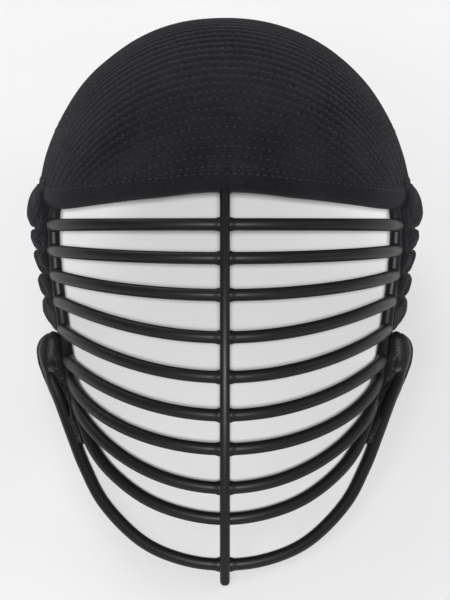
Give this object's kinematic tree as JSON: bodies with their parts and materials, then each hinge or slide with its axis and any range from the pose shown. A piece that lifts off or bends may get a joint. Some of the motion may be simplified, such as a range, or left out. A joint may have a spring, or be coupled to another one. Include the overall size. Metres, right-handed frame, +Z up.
{
  "type": "fencing mask",
  "caption": "Padded fencing mask with a bar grille: a domed cloth top, curved face bars on a closed frame, a chin rim, quilted ear pads and leather jaw pads.",
  "frame": {"origin": "middle of the bounding box at the level of the surface that the mask rests on", "axes": "+Z up from that surface, +Y from the chin end towards the back of the dome, +X to the right of a viewer who faces the grille; the mask lies leaned back, with the grille facing forward and up"},
  "size_m": [0.2208, 0.3438, 0.1793],
  "materials": {
    "rod": "black lacquered light-alloy rod, satin gloss",
    "cloth": "black quilted cotton over felt padding, matt",
    "leather": "black stuffed leather, low sheen"
  },
  "bodies": {
    "root": {"face_frame": "rod", "centre_bar": "rod", "chin_rim": "rod", "cross_bar_1": "rod", "cross_bar_2": "rod", "cross_bar_3": "rod", "cross_bar_4": "rod", "cross_bar_5": "rod", "cross_bar_6": "rod", "cross_bar_7": "rod", "cross_bar_8": "rod", "dome": "cloth", "ear_pad_left": "cloth", "ear_pad_right": "cloth", "jaw_pad_left": "leather", "jaw_pad_right": "leather"}
  },
  "joints": []
}
